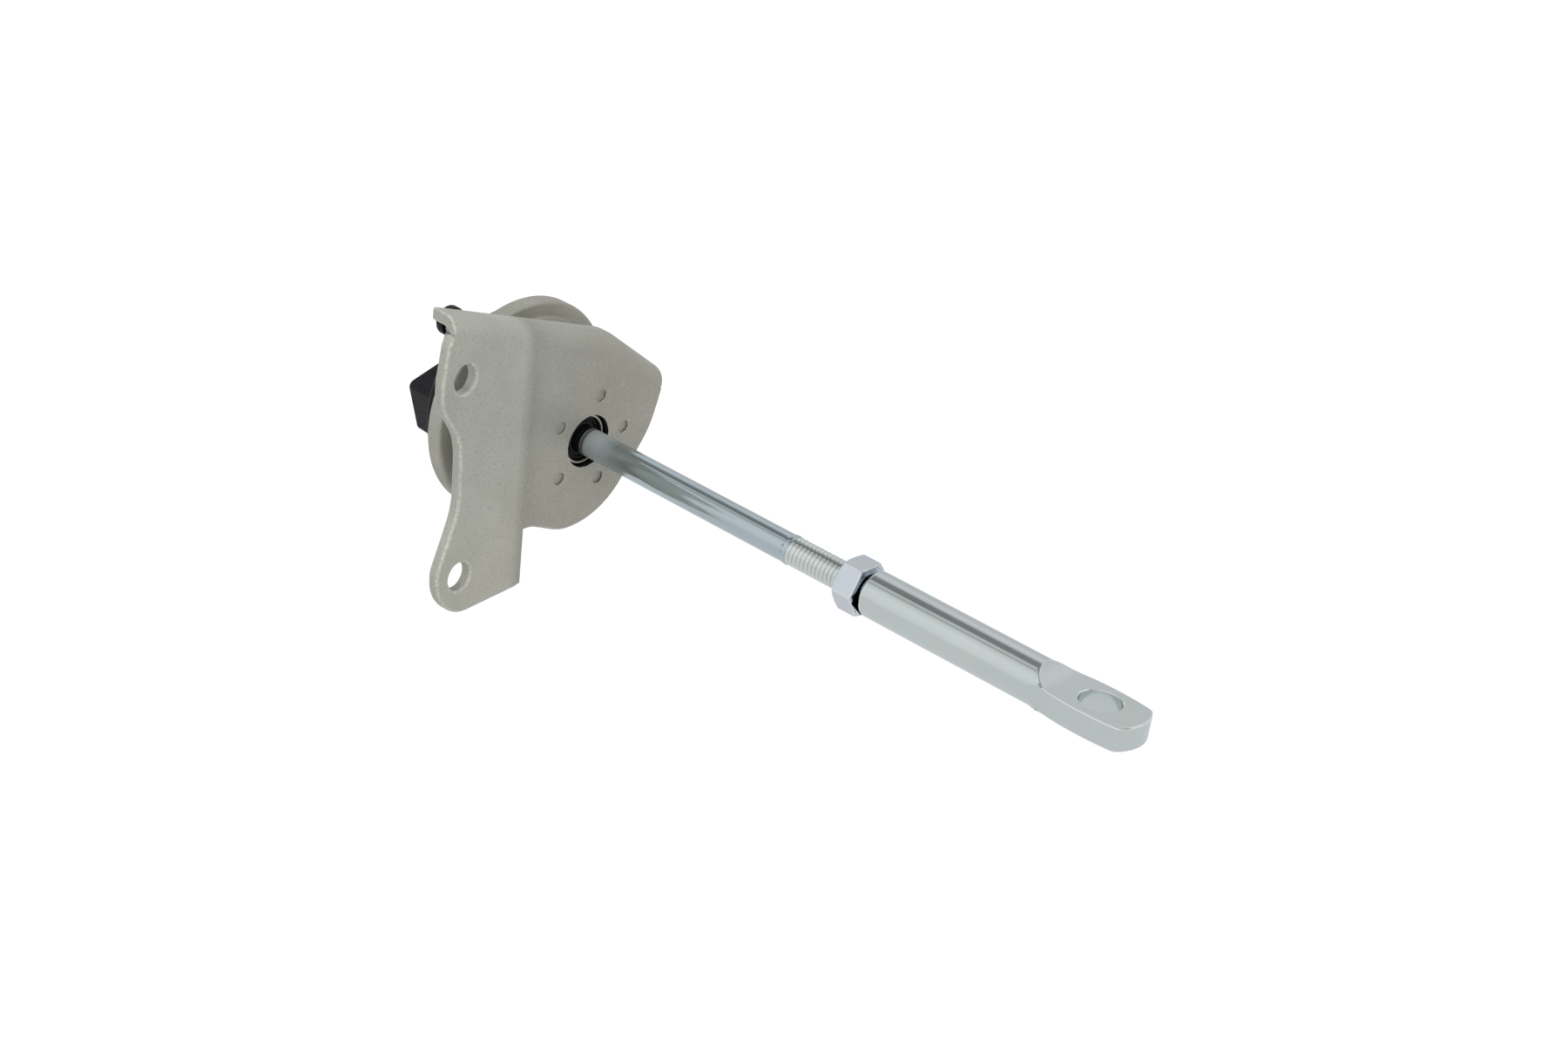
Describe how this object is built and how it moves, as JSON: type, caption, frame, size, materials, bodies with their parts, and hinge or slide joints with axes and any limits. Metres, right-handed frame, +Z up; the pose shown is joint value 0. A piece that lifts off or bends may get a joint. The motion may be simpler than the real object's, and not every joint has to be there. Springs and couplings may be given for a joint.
{
  "type": "vacuum wastegate actuator",
  "caption": "Vacuum wastegate actuator: pressed bracket with a diaphragm can, rear connector and hose nipple, and a zinc plated push rod with locknut and adjustable eye end.",
  "frame": {"origin": "midway between the two bolt holes, on the front face of the bracket's ear", "axes": "+X along the push rod towards the eye, +Z up along the eye's hole, +Y from the bolt holes towards the rod"},
  "size_m": [0.19, 0.0674, 0.0635],
  "materials": {
    "silver_paint": "satin silver-grey paint",
    "zinc_plate": "bright zinc plate with a clear passivation",
    "bright_steel": "bright spring steel",
    "black_plastic": "moulded, lightly textured",
    "black_rubber": "smooth moulded rubber",
    "tinned_brass": "tinned contact brass",
    "board_green": "lacquered circuit board"
  },
  "bodies": {
    "canister": {"bracket": "silver_paint", "front_shell": "silver_paint", "guide_bush": "black_plastic", "rod_seal": "black_rubber", "garter_ring": "bright_steel", "rear_housing": "black_plastic", "spring_seat": "zinc_plate", "terminal_insert": "black_plastic", "terminal_blades": "tinned_brass", "circuit_board": "board_green", "sensor_chip": "black_plastic", "return_spring": "bright_steel", "diaphragm": "black_rubber"},
    "push_rod": {"rod": "zinc_plate", "backing_plate": "zinc_plate", "piston_cup": "zinc_plate", "rod_washer": "zinc_plate", "magnet_holder": "black_plastic", "magnet": "bright_steel"},
    "locknut": {"locknut": "zinc_plate"},
    "adjuster": {"adjuster_sleeve": "zinc_plate"}
  },
  "joints": [
    {"name": "rod_slide", "type": "slide", "parent": "canister", "child": "push_rod", "axis": [1, 0, 0], "range_m": [-0.01, 0], "stiffness_N_per_m": 3000, "springref_m": 0.008, "deforming": ["return_spring", "diaphragm"]},
    {"name": "locknut_turn", "type": "hinge", "parent": "push_rod", "child": "locknut", "pos_m": [0.0711, 0.03765, -0.0028], "axis": [1, 0, 0], "continuous": true},
    {"name": "adjuster_turn", "type": "hinge", "parent": "push_rod", "child": "adjuster", "pos_m": [0.1, 0.03765, -0.0028], "axis": [1, 0, 0], "continuous": true}
  ]
}
